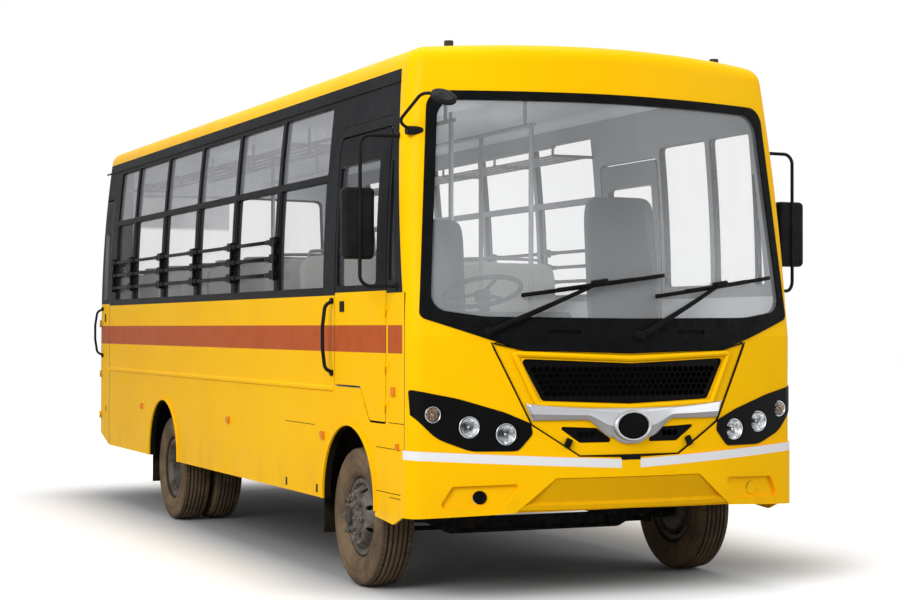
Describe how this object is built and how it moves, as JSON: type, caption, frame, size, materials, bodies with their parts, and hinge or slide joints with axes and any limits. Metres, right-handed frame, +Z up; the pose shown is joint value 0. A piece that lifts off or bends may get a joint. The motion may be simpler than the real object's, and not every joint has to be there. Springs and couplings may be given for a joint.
{
  "type": "school bus",
  "caption": "Forward-control school bus with steered front wheels, twin rear wheels, opening driver, passenger and emergency doors, and a hollow glazed saloon with seats.",
  "frame": {"origin": "on the ground below the middle of the whole outline", "axes": "+Z up, the bus faces -Y, its left side is +X"},
  "size_m": [2.958, 7.6921, 3.085],
  "materials": {
    "body_yellow": "gloss",
    "frame_black": "satin",
    "chassis_black": "satin",
    "engine_grey": "rough",
    "floor_grey": "matt",
    "trim_black": "matt",
    "lamp_black": "gloss",
    "lamp_clear": "clear",
    "lamp_amber": "gloss",
    "lamp_red": "gloss",
    "silver": "satin",
    "glass": "clear",
    "seat_fabric": "woven",
    "rail_cream": "satin",
    "wheel_steel": "satin",
    "tyre_rubber": "matt",
    "rubber_black": "matt"
  },
  "bodies": {
    "bus_body": {"chassis_frame": "chassis_black", "engine_block": "engine_grey", "engine_cover": "trim_black", "floor": "floor_grey", "floor_bearers": "chassis_black", "entry_steps": "floor_grey", "fuel_tank": "chassis_black", "front_axle": "chassis_black", "rear_axle": "chassis_black", "leaf_springs": "chassis_black", "windscreen": "glass", "windscreen_surround": "trim_black", "grille_panel": "body_yellow", "grille": "trim_black", "wing_bar": "silver", "lamp_housings": "lamp_black", "front_lamps": "lamp_clear", "bumper": "body_yellow", "roof": "body_yellow", "rear_panel": "body_yellow", "rear_glass": "glass", "tail_lamps": "lamp_red", "rear_bumper": "chassis_black", "side_glass": "glass", "guard_bars": "frame_black", "mirrors": "trim_black", "wipers": "trim_black", "dashboard": "trim_black", "steering_wheel": "trim_black", "driver_seat": "seat_fabric", "passenger_seats": "seat_fabric", "handrails": "rail_cream", "luggage_racks": "rail_cream", "mud_flaps": "rubber_black", "grab_handles": "trim_black", "marker_lamps": "lamp_amber", "front_cap": "body_yellow", "side_panel_right": "body_yellow", "side_panel_left": "body_yellow", "window_frame_right": "frame_black", "window_frame_left": "frame_black"},
    "tie_rod_bar": {"tie_rod": "chassis_black"},
    "knuckle_right_body": {"knuckle_right": "chassis_black"},
    "front_wheel_right": {"front_rim_right": "wheel_steel", "front_tyre_right": "tyre_rubber"},
    "rear_wheels_right": {"rear_rims_right": "wheel_steel", "rear_tyres_right": "tyre_rubber"},
    "knuckle_left_body": {"knuckle_left": "chassis_black"},
    "front_wheel_left": {"front_rim_left": "wheel_steel", "front_tyre_left": "tyre_rubber"},
    "rear_wheels_left": {"rear_rims_left": "wheel_steel", "rear_tyres_left": "tyre_rubber"},
    "driver_door_leaf": {"driver_door": "body_yellow", "driver_door_glass": "glass"},
    "passenger_door_leaf": {"passenger_door": "body_yellow", "passenger_door_glass": "glass"},
    "emergency_door_leaf": {"emergency_door": "body_yellow", "emergency_door_glass": "glass", "emergency_handle": "trim_black"}
  },
  "joints": [
    {"name": "steer_right", "type": "hinge", "parent": "bus_body", "child": "knuckle_right_body", "pos_m": [-0.88, -2.6125, 0.403], "axis": [0, 0, 1], "range_deg": [-38, 38]},
    {"name": "steer_left", "type": "hinge", "parent": "bus_body", "child": "knuckle_left_body", "pos_m": [0.88, -2.6125, 0.403], "axis": [0, 0, 1], "range_deg": [-38, 38]},
    {"name": "tie_rod_pivot", "type": "hinge", "parent": "knuckle_right_body", "child": "tie_rod_bar", "pos_m": [-0.88, -2.4425, 0.3], "axis": [0, 0, 1], "range_deg": [-38, 38]},
    {"name": "front_spin_right", "type": "hinge", "parent": "knuckle_right_body", "child": "front_wheel_right", "pos_m": [-1.0355, -2.6125, 0.403], "axis": [1, 0, 0], "continuous": true},
    {"name": "front_spin_left", "type": "hinge", "parent": "knuckle_left_body", "child": "front_wheel_left", "pos_m": [1.0355, -2.6125, 0.403], "axis": [1, 0, 0], "continuous": true},
    {"name": "rear_spin_right", "type": "hinge", "parent": "bus_body", "child": "rear_wheels_right", "pos_m": [-1.022, 1.5035, 0.403], "axis": [1, 0, 0], "continuous": true},
    {"name": "rear_spin_left", "type": "hinge", "parent": "bus_body", "child": "rear_wheels_left", "pos_m": [1.022, 1.5035, 0.403], "axis": [1, 0, 0], "continuous": true},
    {"name": "driver_door_hinge", "type": "hinge", "parent": "bus_body", "child": "driver_door_leaf", "pos_m": [-1.2125, -3.2245, 1.3], "axis": [0, 0, 1], "range_deg": [0, 80]},
    {"name": "passenger_door_hinge", "type": "hinge", "parent": "bus_body", "child": "passenger_door_leaf", "pos_m": [1.2125, -2.1485, 1.1], "axis": [0, 0, 1], "range_deg": [-85, 0]},
    {"name": "emergency_door_hinge", "type": "hinge", "parent": "bus_body", "child": "emergency_door_leaf", "pos_m": [-1.2125, 3.5835, 1.1], "axis": [0, 0, 1], "range_deg": [-100, 0]}
  ],
  "couplings": [
    {"joint": "steer_left", "follows": "steer_right", "ratio": 1},
    {"joint": "tie_rod_pivot", "follows": "steer_right", "ratio": -1}
  ]
}
